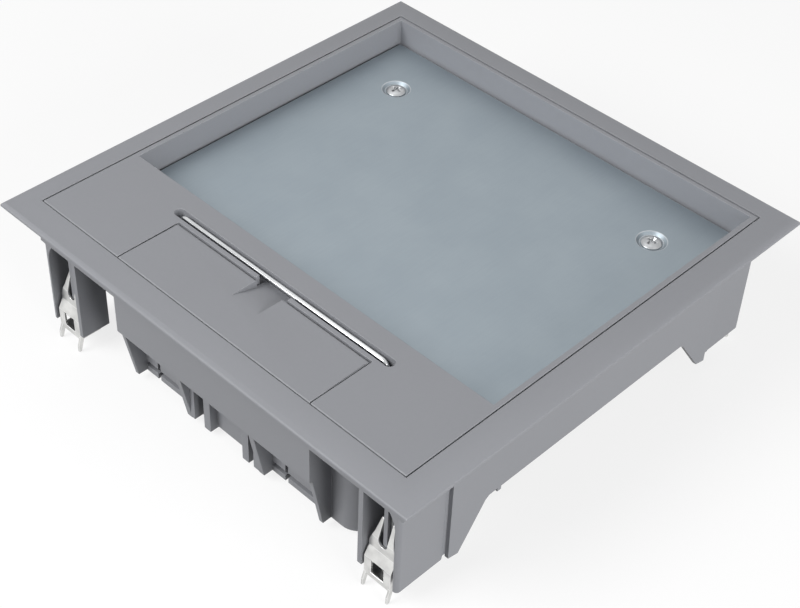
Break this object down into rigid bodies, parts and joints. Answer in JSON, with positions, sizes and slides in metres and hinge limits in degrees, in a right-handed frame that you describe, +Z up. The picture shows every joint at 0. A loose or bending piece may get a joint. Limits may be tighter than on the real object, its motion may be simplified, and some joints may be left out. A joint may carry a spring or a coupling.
{
  "type": "floor socket box",
  "caption": "Flush floor box with a flanged frame, clamping claws, hinged steel-topped lid, cord flap, pull-up wire handle and socket cups.",
  "frame": {"origin": "centre of the flange's underside, level with the floor that the flange rests on", "axes": "+Z up out of the floor; X along the cord flap; +Y from the cord flap to the lid's hinge"},
  "size_m": [0.264, 0.264, 0.0811],
  "materials": {
    "frame_plastic": "fine spark-eroded texture on moulded polyamide",
    "lid_plastic": "fine spark-eroded texture on moulded polyamide",
    "flap_plastic": "fine spark-eroded texture on moulded polyamide",
    "zinc_plate": "galvanised sheet, dull and faintly mottled",
    "screw_steel": "zinc plated",
    "handle_wire": "bright drawn wire",
    "claw_steel": "bright spring steel",
    "foam": "soft closed-cell foam",
    "rest_pad": "matt",
    "cup_plastic": "moulded, dark",
    "carrier_plastic": "moulded, dark",
    "socket_plastic": "smooth, white",
    "contact_brass": "rolled strip"
  },
  "bodies": {
    "frame": {"floor_frame": "frame_plastic", "lid_rest_pads": "rest_pad", "clamp_washers": "screw_steel", "blank_plates": "socket_plastic", "earth_clips_left": "contact_brass", "earth_clips_middle": "contact_brass", "socket_insert_left_front": "socket_plastic", "socket_insert_left_centre": "socket_plastic", "socket_insert_left_rear": "socket_plastic", "socket_insert_middle_front": "socket_plastic", "socket_insert_middle_centre": "socket_plastic", "socket_insert_middle_rear": "socket_plastic", "device_cup_left": "cup_plastic", "carrier_plate_left": "carrier_plastic", "device_cup_middle": "cup_plastic", "carrier_plate_middle": "carrier_plastic", "device_cup_right": "cup_plastic", "carrier_plate_right": "carrier_plastic"},
    "lid": {"lid_frame": "lid_plastic", "steel_insert_plate": "zinc_plate", "plate_screws": "screw_steel", "lid_hinge_pins": "screw_steel", "flap_hinge_pins": "screw_steel"},
    "flap": {"cord_flap": "flap_plastic", "cord_flap_foam": "foam"},
    "handle": {"bail_handle": "handle_wire", "bail_stop_rings": "handle_wire"},
    "screw_front_right": {"clamp_screw_front_right": "screw_steel", "screw_clip_front_right": "screw_steel"},
    "claw_front_right": {"claw_front_right": "claw_steel"},
    "screw_front_left": {"clamp_screw_front_left": "screw_steel", "screw_clip_front_left": "screw_steel"},
    "claw_front_left": {"claw_front_left": "claw_steel"},
    "screw_rear_left": {"clamp_screw_rear_left": "screw_steel", "screw_clip_rear_left": "screw_steel"},
    "claw_rear_left": {"claw_rear_left": "claw_steel"},
    "screw_rear_right": {"clamp_screw_rear_right": "screw_steel", "screw_clip_rear_right": "screw_steel"},
    "claw_rear_right": {"claw_rear_right": "claw_steel"}
  },
  "joints": [
    {"name": "lid_hinge", "type": "hinge", "parent": "frame", "child": "lid", "pos_m": [0, 0.11345, 0.0017], "axis": [-1, 0, 0], "range_deg": [0, 100]},
    {"name": "flap_hinge", "type": "hinge", "parent": "lid", "child": "flap", "pos_m": [0, -0.0852, 0.0016], "axis": [-1, 0, 0], "range_deg": [0, 90]},
    {"name": "handle_slide", "type": "slide", "parent": "lid", "child": "handle", "axis": [0, 0, 1], "range_m": [0, 0.02]},
    {"name": "screw_turn_front_right", "type": "hinge", "parent": "frame", "child": "screw_front_right", "pos_m": [0.106, -0.1112, 0], "axis": [0, 0, -1], "range_deg": [0, 5400]},
    {"name": "claw_slide_front_right", "type": "slide", "parent": "frame", "child": "claw_front_right", "axis": [0, 0, 1], "range_m": [0, 0.0121]},
    {"name": "screw_turn_front_left", "type": "hinge", "parent": "frame", "child": "screw_front_left", "pos_m": [-0.106, -0.1112, 0], "axis": [0, 0, -1], "range_deg": [0, 5400]},
    {"name": "claw_slide_front_left", "type": "slide", "parent": "frame", "child": "claw_front_left", "axis": [0, 0, 1], "range_m": [0, 0.0121]},
    {"name": "screw_turn_rear_left", "type": "hinge", "parent": "frame", "child": "screw_rear_left", "pos_m": [-0.106, 0.1112, 0], "axis": [0, 0, -1], "range_deg": [0, 5400]},
    {"name": "claw_slide_rear_left", "type": "slide", "parent": "frame", "child": "claw_rear_left", "axis": [0, 0, 1], "range_m": [0, 0.0121]},
    {"name": "screw_turn_rear_right", "type": "hinge", "parent": "frame", "child": "screw_rear_right", "pos_m": [0.106, 0.1112, 0], "axis": [0, 0, -1], "range_deg": [0, 5400]},
    {"name": "claw_slide_rear_right", "type": "slide", "parent": "frame", "child": "claw_rear_right", "axis": [0, 0, 1], "range_m": [0, 0.0121]}
  ],
  "couplings": [
    {"joint": "claw_slide_front_right", "follows": "screw_turn_front_right", "m_per_rad": 0.00012732},
    {"joint": "claw_slide_front_left", "follows": "screw_turn_front_left", "m_per_rad": 0.00012732},
    {"joint": "claw_slide_rear_left", "follows": "screw_turn_rear_left", "m_per_rad": 0.00012732},
    {"joint": "claw_slide_rear_right", "follows": "screw_turn_rear_right", "m_per_rad": 0.00012732}
  ]
}
